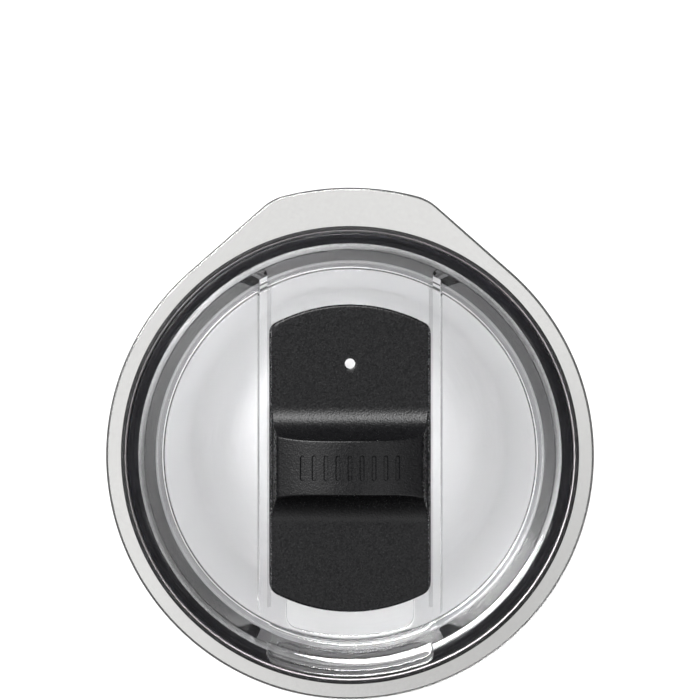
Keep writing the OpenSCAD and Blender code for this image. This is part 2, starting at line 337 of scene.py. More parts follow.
class Surface(Nodes):
    """A builder for one material round its Principled shader. Its lengths are in metres."""

    def __init__(self, name):
        self.material = bpy.data.materials.new(name)
        self.material.use_nodes = True
        super().__init__(self.material.node_tree)
        self.shader = self.tree.nodes["Principled BSDF"]
        self.output = self.tree.nodes["Material Output"]

    def set(self, **sockets):
        """Feeds the shader's sockets. A socket's name is written with _ for each space."""
        for key, value in sockets.items():
            self.feed(value, self.shader.inputs[key.replace("_", " ")])

    def place(self):
        """Object coordinates."""
        return self.node("ShaderNodeTexCoord").outputs["Object"]

    def noise(self, scale, detail=3.0, roughness=0.5, vector=None):
        """A noise with its scale in cells per metre, or along other coordinates if they are given."""
        made = self.node("ShaderNodeTexNoise")
        made.inputs["Scale"].default_value = scale
        made.inputs["Detail"].default_value = detail
        made.inputs["Roughness"].default_value = roughness
        self.link(vector or self.place(), made.inputs["Vector"])
        return made.outputs["Fac"]

    def blend(self, noise, color_a, color_b):
        """A colour that goes from color_a where the noise is low to color_b where it is high."""
        made = self.node("ShaderNodeValToRGB")
        first, last = made.color_ramp.elements
        first.position = NOISE_LOW
        first.color = (*color_a, 1)
        last.position = NOISE_HIGH
        last.color = (*color_b, 1)
        self.link(noise, made.inputs["Fac"])
        return made.outputs["Color"]

    def mix(self, factor, color_a, color_b):
        """Mixes two colours: color_a where the factor is 0, color_b where it is 1."""
        made = self.node("ShaderNodeMix", data_type="RGBA")
        self.feed(factor, made.inputs["Factor"])
        self.feed(color_a, made.inputs["A"])
        self.feed(color_b, made.inputs["B"])
        return made.outputs["Result"]

    def bump(self, height, distance, strength, normal=None):
        """A normal bent by a height, on top of another bump's normal if one is given."""
        made = self.node("ShaderNodeBump")
        made.inputs["Distance"].default_value = distance
        made.inputs["Strength"].default_value = strength
        self.link(height, made.inputs["Height"])
        if normal:
            self.link(normal, made.inputs["Normal"])
        return made.outputs["Normal"]

    def radius(self):
        """Distance from the Z axis."""
        flat = self.node("ShaderNodeVectorMath", operation="MULTIPLY")
        flat.inputs[1].default_value = (1, 1, 0)
        self.link(self.place(), flat.inputs[0])
        length = self.node("ShaderNodeVectorMath", operation="LENGTH")
        self.link(flat.outputs["Vector"], length.inputs[0])
        return length.outputs["Value"]

    def round_brushing(self, around, across):
        """Coordinates in which noise draws fine lines that run round the Z axis.

        They have about so many cells to a radian around the axis, and to a metre across the lines.
        """
        axes = self.split(self.place())
        turn = self.calculate("ARCTAN2", axes["Y"], axes["X"])
        joined = self.node("ShaderNodeCombineXYZ")
        self.link(self.calculate("MULTIPLY", turn, around), joined.inputs["X"])
        self.link(self.calculate("MULTIPLY", self.radius(), across), joined.inputs["Y"])
        self.link(self.calculate("MULTIPLY", axes["Z"], across), joined.inputs["Z"])
        return joined.outputs["Vector"]


# ---------------------------------------------------------------- materials

def clear_plastic():
    """Polished clear moulding that lets the lamps' light through. Its flange is tinted much darker: painted
    shade that stands for the shaded floor seen through it.
    """
    # Painted shade: between these radii the tint darkens into the flange's, standing for the shaded floor
    # seen through it
    flange_shade_start = SEAT_R + 2.3
    flange_shade_end = SEAT_R + 2.7
    n = Surface("clear_plastic")
    clear = n.blend(n.noise(60), (0.87, 0.87, 0.875), (0.89, 0.89, 0.895))
    painted_flange_shade = n.blend(n.noise(1500), (0.56, 0.557, 0.55), (0.59, 0.587, 0.58))
    in_flange = n.span(n.radius(), 0, 1, flange_shade_start * MM, flange_shade_end * MM)
    n.set(Transmission_Weight=1.0,
          IOR=1.54,
          Base_Color=n.mix(in_flange, clear, painted_flange_shade),
          Roughness=n.span(n.noise(200, detail=2), 0.0, 0.025),
          Normal=n.bump(n.noise(90, detail=1), 0.00001, 0.25))
    see_through = n.node("ShaderNodeBsdfTransparent")
    see_through.inputs["Color"].default_value = (0.88, 0.88, 0.885, 1)
    mixed = n.node("ShaderNodeMixShader")
    n.link(n.node("ShaderNodeLightPath").outputs["Is Shadow Ray"], mixed.inputs["Fac"])
    n.link(n.shader.outputs["BSDF"], mixed.inputs[1])
    n.link(see_through.outputs["BSDF"], mixed.inputs[2])
    n.link(mixed.outputs["Shader"], n.output.inputs["Surface"])
    return n.material


def textured_plastic():
    """Black moulding with a fine spark-eroded grain."""
    n = Surface("textured_black_plastic")
    grain = n.bump(n.noise(3400, detail=1), 0.00006, 0.8)
    n.set(IOR=1.5,
          Specular_IOR_Level=0.13,
          Base_Color=n.blend(n.noise(1800, detail=2), (0.0015, 0.0015, 0.0017), (0.0035, 0.0035, 0.0038)),
          Roughness=n.span(n.noise(2600, detail=2), 0.22, 0.32),
          Normal=n.bump(n.noise(250, detail=2), 0.00004, 0.3, normal=grain))
    return n.material


def silicone(name, dark, light, roughness=0.42):
    """Soft rubber in a colour from dark to light, with a fine moulded grain."""
    n = Surface(name)
    n.set(IOR=1.43,
          Specular_IOR_Level=0.3,
          Base_Color=n.blend(n.noise(350), dark, light),
          Roughness=n.span(n.noise(900), roughness - 0.06, roughness + 0.08),
          Normal=n.bump(n.noise(1500, detail=2), 0.00002, 0.4))
    return n.material


def powder_coat():
    """Outside of the tumbler: black paint baked from powder, with a fine orange-peel surface."""
    n = Surface("powder_coat")
    peel = n.bump(n.noise(700, detail=2), 0.00005, 0.4)
    n.set(IOR=1.5,
          Specular_IOR_Level=0.2,
          Base_Color=n.blend(n.noise(900), (0.007, 0.007, 0.0075), (0.011, 0.011, 0.012)),
          Roughness=n.span(n.noise(1400), 0.42, 0.6),
          Normal=n.bump(n.noise(3000, detail=2), 0.00003, 0.5, normal=peel))
    return n.material


def brushed_steel():
    """Pan under the tumbler: fine lines round the axis."""
    n = Surface("brushed_steel")
    lines = n.noise(1.0, detail=5, roughness=0.65, vector=n.round_brushing(6.0, 2600.0))
    n.set(Metallic=1.0,
          Anisotropic=0.55,
          Base_Color=n.blend(lines, (0.56, 0.56, 0.57), (0.68, 0.68, 0.685)),
          Roughness=n.span(lines, 0.24, 0.36),
          Normal=n.bump(lines, 0.000012, 0.5),
          Tangent=n.node("ShaderNodeTangent", direction_type="RADIAL", axis="Z").outputs["Tangent"])
    return n.material


def satin_steel():
    """Inside of the tumbler: electropolished and bright, with painted shade darkening the neck under the
    lid, and tinted by the weld.
    """
    painted_neck_shade = (0.46, 0.46, 0.465, 1)
    weld = (0.25, 0.235, 0.24, 1)
    n = Surface("satin_steel")
    height = n.split(n.place())["Z"]
    lines = n.noise(1.0, vector=n.round_brushing(4.0, 900.0))
    color = n.blend(lines, (0.945, 0.945, 0.945), (0.975, 0.975, 0.975))
    # Painted shade: from 14 mm under the lid's plug upwards the colour darkens, standing for the shade cast
    # into the neck; the weld tints the rim
    for weld_tint_or_shade, low, high in ((painted_neck_shade, PLUG_Z - 14, PLUG_Z - 8), (weld, CUP_H - 1.2, CUP_H - 0.7)):
        color = n.mix(n.span(height, 0, 1, low * MM, high * MM), color, weld_tint_or_shade)
    n.set(Metallic=1.0,
          Base_Color=color,
          Roughness=n.span(n.noise(120, detail=4), 0.4, 0.5),
          Normal=n.bump(lines, 0.00001, 0.3))
    return n.material


def inner_metal(name, dark, light, roughness, crinkle):
    """Metal inside the vacuum space: foil, sheet or sintered pill. Crinkle is the scale of its relief."""
    n = Surface(name)
    n.set(Metallic=1.0,
          Base_Color=n.blend(n.noise(300), dark, light),
          Roughness=n.span(n.noise(500), roughness - 0.05, roughness + 0.1),
          Normal=n.bump(n.noise(crinkle, detail=4), 0.00008, 0.6))
    return n.material


def solder_glass():
    """Glassy bead that closes the vacuum port."""
    n = Surface("solder_glass")
    n.set(IOR=1.7,
          Base_Color=n.blend(n.noise(900), (0.30, 0.34, 0.26), (0.42, 0.45, 0.36)),
          Roughness=n.span(n.noise(1200), 0.12, 0.25))
    return n.material


def floor_paint():
    """Pale light table: it glows, so that shadows on it are faint."""
    n = Surface("floor_paint")
    n.set(Emission_Color=(1, 1, 1, 1),
          Emission_Strength=0.84,
          Specular_IOR_Level=0.1,
          Base_Color=n.blend(n.noise(3), (0.16, 0.16, 0.16), (0.17, 0.17, 0.17)),
          Roughness=n.span(n.noise(40), 0.75, 0.9))
    return n.material


# ---------------------------------------------------------------- lid

def flange_radius(angle):
    """Radius of the flange's edge at an angle from +Y.

    The flange is round, with a thumb tab that has straight sides and round corners.
    """
    angle = abs(math.remainder(angle, 2 * math.pi))
    corner_dist = TAB_R - TAB_CORNER_R
    corner_angle = TAB_ANGLE - math.acos((FLANGE_R - TAB_CORNER_R) / corner_dist)
    side_x = corner_dist * math.sin(corner_angle) + TAB_CORNER_R * math.sin(TAB_ANGLE)
    side_y = corner_dist * math.cos(corner_angle) + TAB_CORNER_R * math.cos(TAB_ANGLE)
    if angle <= corner_angle:
        return TAB_R
    if angle <= math.atan2(side_x, side_y):
        off = angle - corner_angle
        past_centre = math.sqrt(TAB_CORNER_R ** 2 - (corner_dist * math.sin(off)) ** 2)
        return corner_dist * math.cos(off) + past_centre
    if angle <= TAB_ANGLE:
        return FLANGE_R / math.cos(TAB_ANGLE - angle)
    return FLANGE_R


def lid_radius(r, angle):
    """Moves the flange's outer part out to the tab; all within ROUND_R stays round."""
    edge_start = FLANGE_R - 1
    weight = min(1.0, max(0.0, (r - ROUND_R) / (edge_start - ROUND_R)))
    return r + weight * (flange_radius(angle) - FLANGE_R)


def roll(start, radius, tilt_a, tilt_b, n):
    """Points of an arc in the r-z plane, from start inwards and down.

    It tilts from tilt_a to tilt_b degrees. It is convex, or concave where the radius is negative.
    """
    centre_r = start[0] + radius * math.sin(math.radians(tilt_a))
    centre_z = start[1] - radius * math.cos(math.radians(tilt_a))
    return [(centre_r - radius * math.sin(math.radians(t)), centre_z + radius * math.cos(math.radians(t)))
            for t in steps(tilt_a, tilt_b, n)]


def bevel_radius(width, tilt_a, tilt_b):
    """Radius of an arc that is this wide in plan, while it tilts from tilt_a to tilt_b degrees."""
    return width / (math.sin(math.radians(tilt_b)) - math.sin(math.radians(tilt_a)))


def well_edge():
    """Edge of the well from the flange's top down.

    It has a short curve, a crowned bevel and a tight curve into the wall.
    """
    top_r = 0.6
    bevel_w = 0.8
    bevel_a = 13
    bevel_b = 25
    wall_r = 0.45
    points = roll((WELL_R, LID_TOP), top_r, 0, bevel_a, 5)
    points += roll(points[-1], bevel_radius(bevel_w, bevel_a, bevel_b), bevel_a, bevel_b, 8)[1:]
    points += roll(points[-1], wall_r, bevel_b, 90 - WELL_LEAN, 8)[1:]
    return points


def spout_edge():
    """Edge of the spout from the flange's top down: rolled lip, dished step, ledge and tight curve."""
    lip_r = 1.1
    lip_tilt = 40
    slope_run = 0.45
    dish_r = 0.8
    ledge_w = 1.9
    ledge_a = 11
    ledge_b = 20
    wall_r = 0.5
    points = roll((SPOUT_R, LID_TOP), lip_r, 0, lip_tilt, 9)
    slope_drop = slope_run * math.tan(math.radians(lip_tilt))
    slope_foot = (points[-1][0] - slope_run, points[-1][1] - slope_drop)
    points += roll(slope_foot, -dish_r, lip_tilt, ledge_a, 8)
    points += roll(points[-1], bevel_radius(ledge_w, ledge_a, ledge_b), ledge_a, ledge_b, 6)[1:]
    points += roll(points[-1], wall_r, ledge_b, 90 - SPOUT_LEAN, 8)[1:]
    return points


def plug_profile():
    """Section of the lid from the middle of its floor, over the flange, to the middle of its underside."""
    flat_r = FLOOR_R - 4
    upper_edge = 0.55
    lower_edge = 0.4
    root = 0.3
    hollow_r = 1.0
    # Round edges of the plug's foot: their radius, and where their middles lie
    foot_edge = 0.5
    foot_outer = SEAT_R - 1.4
    foot_inner = FLOOR_R + 1.5
    # Ridge under the gasket that keeps it on its seat, as distances out from the seat and up
    ridge = [(0, 0), (0.8, 0), (0.9, -0.25), (0.7, -0.5), (-0.4, -0.6)]
    points = [(0, FLOOR_Z), (flat_r, FLOOR_Z)]
    points += arc(FLOOR_R, FLOOR_Z + FLOOR_FILLET_R, FLOOR_FILLET_R, -90, -WELL_LEAN, 10)
    points += list(reversed(well_edge()))
    points += [(SEAT_R + 1.5, LID_TOP), (ROUND_R, LID_TOP)]
    points += arc(FLANGE_R - upper_edge, LID_TOP - upper_edge, upper_edge, 90, 0, 6)
    points += arc(FLANGE_R - lower_edge, FLANGE_Z + lower_edge, lower_edge, 0, -90, 5)
    points += [(ROUND_R, FLANGE_Z), (SEAT_R + root, FLANGE_Z), (SEAT_R, FLANGE_Z - root)]
    points += [(SEAT_R + out, GASKET_Z + up) for out, up in ridge]
    points += arc(foot_outer, PLUG_Z + foot_edge, foot_edge, 0, -90, 4)
    points += arc(foot_inner, PLUG_Z + foot_edge, foot_edge, -90, -180, 4)
    points += arc(FLOOR_R - 0.5, GASKET_Z - hollow_r, hollow_r, 0, 90, 5)
    points += [(flat_r, GASKET_Z), (0, GASKET_Z)]
    return points


def rounded_end(half_w, end_r, corner_r, near_y):
    """Outline with straight sides, a bowed end of radius end_r about the axis, and round corners."""
    corner_x = half_w - corner_r
    corner_y = -math.sqrt((end_r - corner_r) ** 2 - corner_x ** 2)
    bow = math.degrees(math.asin(corner_x / (end_r - corner_r)))
    points = [(half_w, near_y), (-half_w, near_y)]
    points += arc(-corner_x, corner_y, corner_r, 180, 270 - bow, 8)
    points += arc(0, 0, end_r, 270 - bow, 270 + bow, 40)[1:-1]
    points += arc(corner_x, corner_y, corner_r, 270 + bow, 360, 8)
    return points


def spout_cutter():
    """Space of the spout: a pocket between the rails with a ledge just under the flange's top."""
    back_y = -29
    corner_r = 2.3
    foot_r = FLOOR_R + 1.3
    # Small fillet into the floor
    levels = [(foot_r - 0.9, FLOOR_Z + 0.02), (foot_r - 0.35, FLOOR_Z + 0.12), (foot_r, FLOOR_Z + 0.4)]
    levels += list(reversed(spout_edge()))
    levels += [(SPOUT_R, LID_TOP + OVERSHOOT)]
    outlines = [(rounded_end(RAIL_X, r, corner_r, back_y), z) for r, z in levels]
    return loft("spout_cutter", outlines)


def sip_outline(grow):
    """Outline of the sip opening, moved outwards by grow."""
    far_y = SIP_FAR_R - SIP_FAR
    corner_x = SIP_W / 2 - SIP_CORNER_R
    corner_y = far_y - math.sqrt((SIP_FAR_R - SIP_CORNER_R) ** 2 - corner_x ** 2)
    bow = math.degrees(math.asin(corner_x / (SIP_FAR_R - SIP_CORNER_R)))
    r = SIP_CORNER_R + grow
    points = arc(corner_x, -SIP_NEAR - SIP_CORNER_R, r, 0, 90, 8)
    points += arc(-corner_x, -SIP_NEAR - SIP_CORNER_R, r, 90, 180, 8)
    points += arc(-corner_x, corner_y, r, 180, 270 - bow, 8)
    points += arc(0, far_y, SIP_FAR_R + grow, 270 - bow, 270 + bow, 24)[1:-1]
    points += arc(corner_x, corner_y, r, 270 + bow, 360, 8)
    return points


def sip_cutter():
    """Sip opening, with a rounded upper edge."""
    edge = 0.3
    levels = [(0, GASKET_Z - OVERSHOOT), (0, FLOOR_Z - edge), (edge * 0.3, FLOOR_Z - edge * 0.3)]
    levels += [(edge, FLOOR_Z), (edge, FLOOR_Z + OVERSHOOT)]
    return loft("sip_cutter", [(sip_outline(grow), z) for grow, z in levels])


def vent_cutter(radius, low, high, flare):
    """Round hole from low to high, with a flared upper edge."""
    profile = [(0, low - OVERSHOOT), (radius, low - OVERSHOOT), (radius, high - flare)]
    profile += [(radius + flare * 0.3, high - flare * 0.3), (radius + flare, high)]
    profile += [(radius + flare, high + OVERSHOOT), (0, high + OVERSHOOT)]
    cutter = revolve("vent_cutter", profile, closed=False, segments=48)
    cutter.data.transform(Matrix.Translation(to_scene(0, VENT_Y, 0)))
    return cutter


def rail_section(side, inner):
    """(x, z) section of a rail with its drafted outer face, or of its upper part out to its lip."""
    edge = 0.12
    inner_edge = 0.06
    lip_root = 0.5
    sunk_z = FLOOR_Z - 0.6
    outer = RAIL_X + RAIL_T
    if inner < RAIL_X:
        points = [(inner, LIP_Z), (RAIL_X + lip_root, LIP_Z)]
    else:
        points = [(inner, sunk_z), (outer, sunk_z), (outer, FLOOR_Z)]
    points += arc(outer - RAIL_DRAFT - edge, RAIL_TOP - edge, edge, 0, 90, 5)
    points += arc(inner + inner_edge, RAIL_TOP - inner_edge, inner_edge, 90, 180, 3)
    return [(side * x, z) for x, z in points]


def rail_end_cutter(side):
    """Rounds a rail off where it ends at the spout."""
    past_y = -40
    inner = RAIL_X - 2
    outer = RAIL_X + RAIL_T
    outline = [(outer + OVERSHOOT, RAIL_SPOUT_Y + RAIL_T)]
    outline += arc(RAIL_X, RAIL_SPOUT_Y + RAIL_T, RAIL_T, 0, -90, 12)
    outline += [(inner, RAIL_SPOUT_Y), (inner, past_y), (outer + OVERSHOOT, past_y)]
    outline = [(side * x, y) for x, y in outline]
    return loft("rail_end_cutter", [(outline, FLOOR_Z - OVERSHOOT), (outline, RAIL_TOP + OVERSHOOT)])


def make_rail(side):
    """A rail with its retaining lip, which stops short of the rail's own end at the tab."""
    rail = extrude_along_y("rail", rail_section(side, RAIL_X), -RAIL_END_Y, RAIL_END_Y)
    lip = extrude_along_y("lip", rail_section(side, RAIL_X - LIP_W), -LIP_HALF_L, LIP_HALF_L)
    combine(rail, [lip], "UNION")
    combine(rail, [rail_end_cutter(side)], "DIFFERENCE")
    return rail


def make_lid(material):
    """The clear moulding: flange, tab, plug and floor, with its rails, spout, sip opening and vent hole."""
    lid = revolve("lid_shell", plug_profile(), closed=False, radius_at=lid_radius)
    combine(lid, [make_rail(-1), make_rail(1)], "UNION")
    vent = vent_cutter(VENT_R + 0.2, GASKET_Z, FLOOR_Z, 0.15)
    combine(lid, [spout_cutter(), sip_cutter(), vent], "DIFFERENCE")
    weigh_normals(lid)
    give(lid, "lid", material, "lid_body")


def make_gasket(material):
    """Silicone ring with three soft sealing lips that sweep upwards, at equal pitches."""
    lip_count = 3
    body_r = SEAT_R + 1.1
    body_edge = 0.3
    top_edge = 0.25
    lip_edge = 0.22
    grip_r = SEAT_R - GASKET_GRIP
    # Just inside the CAD gasket, so that the lips don't reach into the neck, nor the top into the flange
    lip_r = GASKET_HIGH[0] - 0.02
    high = GASKET_HIGH[2] - 0.05
    low = GASKET_LOW[2]
    pitch = (high - low) / lip_count
    profile = [(grip_r, low), (body_r - body_edge, low), (body_r, low + body_edge)]
    for i in range(lip_count):
        # Heights within a lip are shares of the pitch
        z = low + i * pitch
        profile += [(body_r, z + 0.2 * pitch), (lip_r - 0.25, z + 0.42 * pitch)]
        profile += arc(lip_r - lip_edge, z + 0.58 * pitch, lip_edge, -60, 90, 5)
        profile += [(body_r, z + 0.78 * pitch)]
    profile += [(body_r - top_edge, high), (grip_r, high)]
    gasket = revolve("gasket_ring", profile, closed=True, sharp=50)
    give(gasket, "gasket", material, "lid_gasket")


# ---------------------------------------------------------------- slider

def slider_end_y(x, far):
    """Y of the slider's curved end at x, with round corners."""
    apex = SLIDER_FAR_Y if far else -SLIDER_NEAR_Y
    corner_r = SLIDER_FAR_CORNER_R if far else SLIDER_NEAR_CORNER_R
    x = min(abs(x), SLIDER_HALF_W)
    centre = apex - SLIDER_END_R
    corner_x = SLIDER_HALF_W - corner_r
    corner_y = centre + math.sqrt((SLIDER_END_R - corner_r) ** 2 - corner_x ** 2)
    if x > corner_x * SLIDER_END_R / (SLIDER_END_R - corner_r):
        y = corner_y + math.sqrt(max(0.0, corner_r ** 2 - (x - corner_x) ** 2))
    else:
        y = centre + math.sqrt(SLIDER_END_R ** 2 - x ** 2)
    return y if far else -y


def grip_columns():
    """(x, grip height) pairs from the middle to one side of the slider.

    They follow the grip's arch, its round shoulder, its side and the plate's margin.
    """
    shoulder_r = 1.0
    side_tilt = 14
    foot_h = 0.25
    margin_x = GRIP_FOOT_X + 0.14
    margin_h = 0.02
    arch_r = GRIP_ARCH_R
    lean = math.asin((GRIP_SIDE_X - shoulder_r * 0.6) / arch_r)
    shoulder_x = GRIP_SIDE_X - shoulder_r * (1 - math.sin(lean))

    def arch(x):
        return GRIP_H - arch_r + math.sqrt(arch_r ** 2 - x ** 2)

    columns = [(x, arch(x)) for x in steps(0, shoulder_x, 26)]
    centre_x = shoulder_x - shoulder_r * math.sin(lean)
    centre_h = arch(shoulder_x) - shoulder_r * math.cos(lean)
    columns += arc(centre_x, centre_h, shoulder_r, 90 - math.degrees(lean), side_tilt, 6)[1:]
    side_x, side_h = columns[-1]
    columns += list(zip(steps(side_x, GRIP_FOOT_X, 5), steps(side_h, foot_h, 5)))[1:]
    columns += [(GRIP_FOOT_X + 0.06, 0.09), (margin_x, margin_h)]
    columns += [(x, margin_h) for x in steps(margin_x, SLIDER_HALF_W - SLIDER_EDGE_R, 2)[1:]]
    return columns


def scoop_half(start_y, toward, radius, height):
    """(y, height) points from the plate up a scoop to the grip's edge, which is rounded.

    Every scoop has the same number of points, whatever its height.
    """
    scoop_count = 16
    edge_count = 4
    foot = math.degrees(math.acos(max(0.0, 1 - height / radius)))
    lean = math.radians(foot)
    top = (start_y + toward * radius * math.sin(lean), height)
    edge = min(0.3, 0.4 * height)
    below = (top[0] - toward * edge * math.cos(lean), top[1] - edge * math.sin(lean))
    beyond = (top[0] + toward * edge, top[1])
    points = []
    for a in steps(0, foot, scoop_count)[:-1]:
        points.append((start_y + toward * radius * math.sin(math.radians(a)),
                       radius * (1 - math.cos(math.radians(a)))))
    # Points above the edge's foot are dropped, and as many are put in between the rest and that foot
    points = [p for p in points if p[1] < below[1] - 1e-4] or points[:1]
    while len(points) < scoop_count:
        points.append(tuple(a + (b - a) * 0.5 for a, b in zip(points[-1], below)))
    for t in steps(0, 1, edge_count):
        y = (1 - t) ** 2 * below[0] + 2 * t * (1 - t) * top[0] + t ** 2 * beyond[0]
        z = (1 - t) ** 2 * below[1] + 2 * t * (1 - t) * top[1] + t ** 2 * beyond[1]
        points.append((y, z))
    return points


def slider_column(x, height):
    """(y, z) points of the slider's top along one line, from the spout end to the tab end."""
    inset = SLIDER_EDGE_R
    reach = min(abs(x) * (SLIDER_HALF_W / (SLIDER_HALF_W - inset)), SLIDER_HALF_W)
    near_end = slider_end_y(reach, far=False) + inset
    far_end = slider_end_y(reach, far=True) - inset
    near_scoop = scoop_half(GRIP_NEAR_Y - SCOOP_NEAR_R, 1, SCOOP_NEAR_R, height)
    far_scoop = scoop_half(GRIP_FAR_Y + SCOOP_FAR_R, -1, SCOOP_FAR_R, height)
    far_scoop.reverse()
    points = [(y, 0) for y in steps(near_end, near_scoop[0][0], 12)[:-1]]
    points += near_scoop
    points += [(y, height) for y in steps(near_scoop[-1][0], far_scoop[0][0], 10)[1:-1]]
    points += far_scoop
    points += [(y, 0) for y in steps(far_scoop[-1][0], far_end, 12)[1:]]
    return points


def slider_top_grid(bm):
    """Grid of vertices over the slider's top, one list per line of constant x."""
    half = grip_columns()
    columns = [(-x, h) for x, h in reversed(half[1:])] + half
    grid = []
    for x, height in columns:
        grid.append([bm.verts.new(to_scene(x, y, SLIDER_TOP + z)) for y, z in slider_column(x, height)])
    for left, right in zip(grid, grid[1:]):
        for i in range(len(left) - 1):
            bm.faces.new((left[i], right[i], right[i + 1], left[i + 1]))
    return grid


def slider_skirt(bm, grid):
    """Rounds the top's edge over into the sides and closes the underside."""
    chamfer = 0.25
    edge = SLIDER_EDGE_R
    loop = [column[0] for column in grid]
    loop += grid[-1][1:]
    loop += [column[-1] for column in reversed(grid[:-1])]
    loop += list(reversed(grid[0]))[1:-1]
    normals = []
    for i, vert in enumerate(loop):
        along = loop[(i + 1) % len(loop)].co - loop[i - 1].co
        normals.append(Vector((along.y, -along.x, 0)).normalized())
    plan = [vert.co.copy() for vert in loop]
    levels = [(edge * math.sin(math.radians(a)), SLIDER_TOP - edge * (1 - math.cos(math.radians(a))))
              for a in (22, 45, 68, 90)]
    levels += [(edge, SLIDER_Z + chamfer), (edge - chamfer, SLIDER_Z)]
    last = loop
    for out, z in levels:
        ring = [bm.verts.new(Vector((p.x, p.y, z * MM)) + n * out * MM) for p, n in zip(plan, normals)]
        stitch(bm, last, ring)
        last = ring
    bm.faces.new(last)


def seal_recess():
    """Pocket in the slider's underside for the silicone pad, with a bowed end like the pad's."""
    low, high = corners("slider_seal")
    # Share of the half width, and distance from the pad's end
    bow = [(1, 2.2), (0.8, 1.2), (0.5, 0.3)]
    outline = [(low[0], high[1])]
    outline += [(low[0] * share, low[1] + dist) for share, dist in bow]
    outline += [(0, low[1] - 0.1)]
    outline += [(high[0] * share, low[1] + dist) for share, dist in reversed(bow)]
    outline += [(high[0], high[1])]
    return loft("seal_recess", [(outline, SLIDER_Z - OVERSHOOT), (outline, high[2])])


def groove_cutter(turn):
    """Slot that stands on the grip's arch, turned by an angle about the arch's axis."""
    half_w = 0.42
    half_l = 2.4
    depth = 0.35
    # Height over the arch and width factor of each level: the sides are drafted and the edge is rounded
    levels = [(-depth, 0.72), (-depth * 0.6, 0.95), (0.06, 1.1), (OVERSHOOT, 1.1)]
    middle_y = (GRIP_FAR_Y + GRIP_NEAR_Y) / 2
    axis_z = SLIDER_TOP + GRIP_H - GRIP_ARCH_R
    outline = []
    for end, start in ((1, 0), (-1, 180)):
        outline += arc(0, end * (half_l - half_w), half_w, start, start + 180, 8)
    bm = bmesh.new()
    rings = []
    for height, grow in levels:
        up = GRIP_ARCH_R + height
        ring = []
        for x, y in outline:
            side = x * grow
            turned_x = up * math.sin(turn) + side * math.cos(turn)
            turned_z = up * math.cos(turn) - side * math.sin(turn)
            groove_y = middle_y + y * (1 + (grow - 1) * 0.15)
            ring.append(bm.verts.new(to_scene(turned_x, groove_y, axis_z + turned_z)))
        rings.append(ring)
    for ring_a, ring_b in zip(rings, rings[1:]):
        stitch(bm, ring_a, ring_b)
    bm.faces.new(rings[0])
    bm.faces.new(rings[-1])
    return finish_mesh("groove", bm)


def grip_grooves():
    """Row of short debossed grooves across the thumb grip."""
    count = 9
    pitch = 2.3
    return [groove_cutter((i - (count - 1) / 2) * pitch / GRIP_ARCH_R) for i in range(count)]


def make_slider(material):
    """The sliding closure: plate, scoops and thumb grip, with its grooves, vent hole and pad recess."""
    bm = bmesh.new()
    grid = slider_top_grid(bm)
    slider_skirt(bm, grid)
    slider = finish_mesh("slider_closure", bm)
    cutters = [vent_cutter(VENT_R, SLIDER_Z, SLIDER_TOP, 0.18), seal_recess()]
    combine(slider, cutters + grip_grooves(), "DIFFERENCE")
    weigh_normals(slider)
    give(slider, "slider_unit", material, "slider")


# ---------------------------------------------------------------- tumbler

def wall_radius(z):
    """Outer radius of the tumbler: straight taper, parabolic turn, upright wall."""
    slope = (RIM_R - BASE_R) / ((TAPER_END - TAPER_START) + (UPRIGHT_START - TAPER_END) / 2)
    if z <= TAPER_END:
        return BASE_R + slope * (z - TAPER_START)
    if z >= UPRIGHT_START:
        return RIM_R
    past = z - TAPER_END
    return (BASE_R + slope * (TAPER_END - TAPER_START) + slope * past
            - slope * past ** 2 / (2 * (UPRIGHT_START - TAPER_END)))


def wall_line(inset, low, high):
    """(r, z) points of the tumbler's wall from low to high, moved inwards by inset."""
    return [(wall_radius(z) - inset, z) for z in steps(low, high, 40)]


def make_shell(material):
    """Outer shell. Its painted lip laps over the liner's edge at the rim."""
    lip = 0.4
    chamfer = 0.05
    inner_r = RIM_R - SHELL_T
    lap_r = inner_r - LIP_LAP
    corner_r = BASE_R - SHELL_CORNER_R
    profile = arc(corner_r, TAPER_START, SHELL_CORNER_R, -90, 0, 10)
    profile += wall_line(0, TAPER_START, CUP_H - lip)[1:]
    profile += arc(RIM_R - lip, CUP_H - lip, lip, 0, 90, 6)[1:]
    profile += [(lap_r + chamfer, CUP_H), (lap_r, CUP_H - chamfer)]
    profile += [(lap_r, CUP_H - LIP_DROP), (inner_r, CUP_H - LIP_DROP)]
    profile += list(reversed(wall_line(SHELL_T, TAPER_START, CUP_H - lip - LIP_DROP)))
    profile += arc(corner_r, TAPER_START, SHELL_CORNER_R - SHELL_T, 0, -90, 10)[1:]
    shell = revolve("shell_outside", profile, closed=True)
    give(shell, "tumbler", material, "outer_shell")


def liner_face(inset):
    """One face of the liner, from the middle of its floor up to the foot of its neck."""
    flat_r = 12
    neck_foot = NECK_Z - 5
    wall_inset = SHELL_T + VACUUM_GAP
    wall_low = LINER_Z + LINER_CORNER_R
    corner_r = wall_radius(wall_low) - wall_inset - LINER_CORNER_R
    points = [(0, LINER_Z + inset), (flat_r, LINER_Z + inset)]
    points += arc(corner_r, wall_low, LINER_CORNER_R - inset, -90, 0, 12)
    points += wall_line(wall_inset + inset, wall_low, neck_foot)[1:]
    return points


def make_liner(material):
    """Steel cup that holds the drink, with the neck that the gasket seals against."""
    lip = 0.35
    outer_r = RIM_R - SHELL_T
    inner_r = outer_r - LINER_T
    # Softens the bend from the wall into the neck
    bend_r = 0.2
    bend_z = NECK_Z - 0.6
    # Just under the shell's lip, so that the two faces don't coincide
    top = CUP_H - LIP_DROP - 0.02
    profile = liner_face(0) + [(outer_r - bend_r, bend_z), (outer_r, NECK_Z), (outer_r, top)]
    profile += arc(inner_r + lip, top - lip, lip, 90, 180, 6)
    profile += [(inner_r, NECK_Z), (inner_r - bend_r, bend_z)]
    profile += list(reversed(liner_face(LINER_T)))
    liner = revolve("liner_cup", profile, closed=False)
    give(liner, "tumbler", material, "inner_liner")


